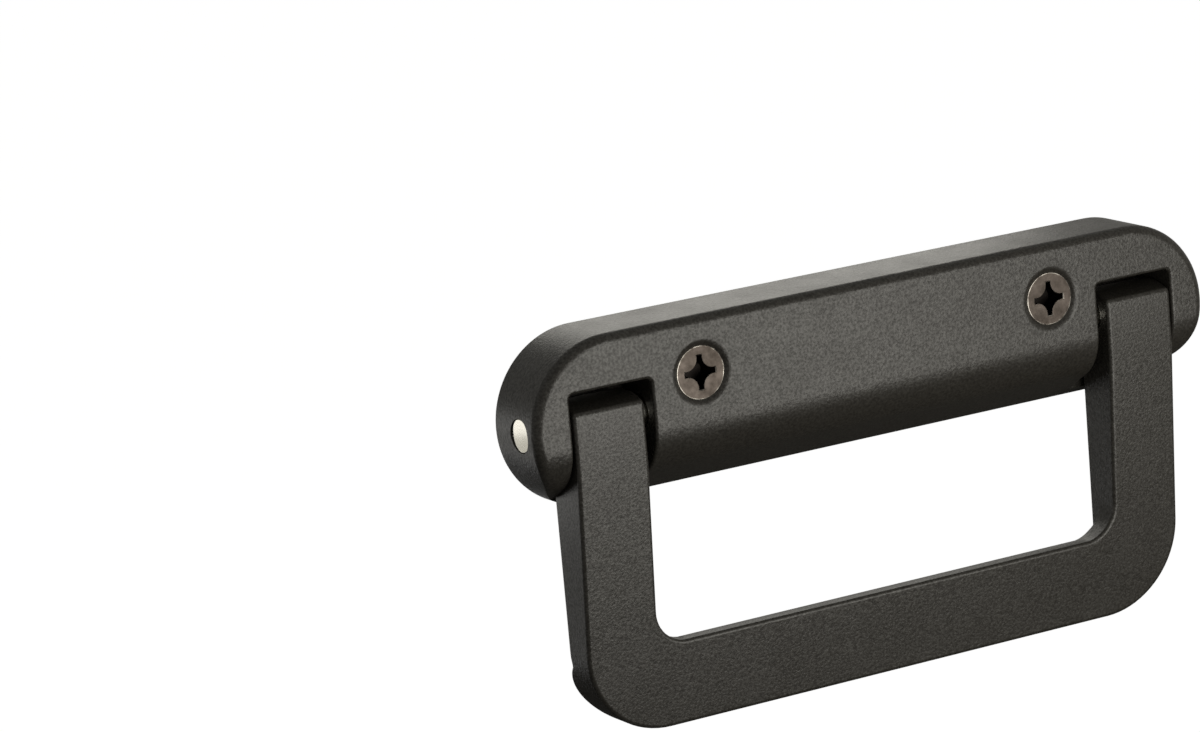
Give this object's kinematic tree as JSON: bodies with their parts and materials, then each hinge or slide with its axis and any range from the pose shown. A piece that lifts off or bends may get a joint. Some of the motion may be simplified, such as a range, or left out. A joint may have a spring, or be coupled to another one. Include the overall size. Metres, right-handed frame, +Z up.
{
  "type": "folding handle",
  "caption": "Surface-mounted folding handle: a flat base with round ends, screwed to a wall or case, carries a U-shaped bail that hangs flat and swings out level for the hand.",
  "frame": {"origin": "on the wall plane, midway between the two mounting screws", "axes": "+X along the base, +Y into the wall, +Z up; the bail hangs towards -Z and swings out towards -Y"},
  "size_m": [0.115, 0.0206, 0.0592],
  "materials": {
    "base_coat": "fine-textured matt black powder coat on a zinc die casting",
    "bail_coat": "fine-textured matt black powder coat on a zinc die casting",
    "pin_steel": "bright turned end",
    "screw_steel": "dark brown-black oxide",
    "buffer_rubber": "moulded matt black"
  },
  "bodies": {
    "base": {"base_body": "base_coat", "hinge_pin_left": "pin_steel", "hinge_pin_right": "pin_steel", "mounting_screw_left": "screw_steel", "mounting_screw_right": "screw_steel", "stop_buffer_left": "buffer_rubber", "stop_buffer_right": "buffer_rubber"},
    "bail": {"bail_handle": "bail_coat"}
  },
  "joints": [
    {"name": "bail_swing", "type": "hinge", "parent": "base", "child": "bail", "pos_m": [0, -0.0067, -0.0047], "axis": [-1, 0, 0], "range_deg": [0, 90]}
  ]
}
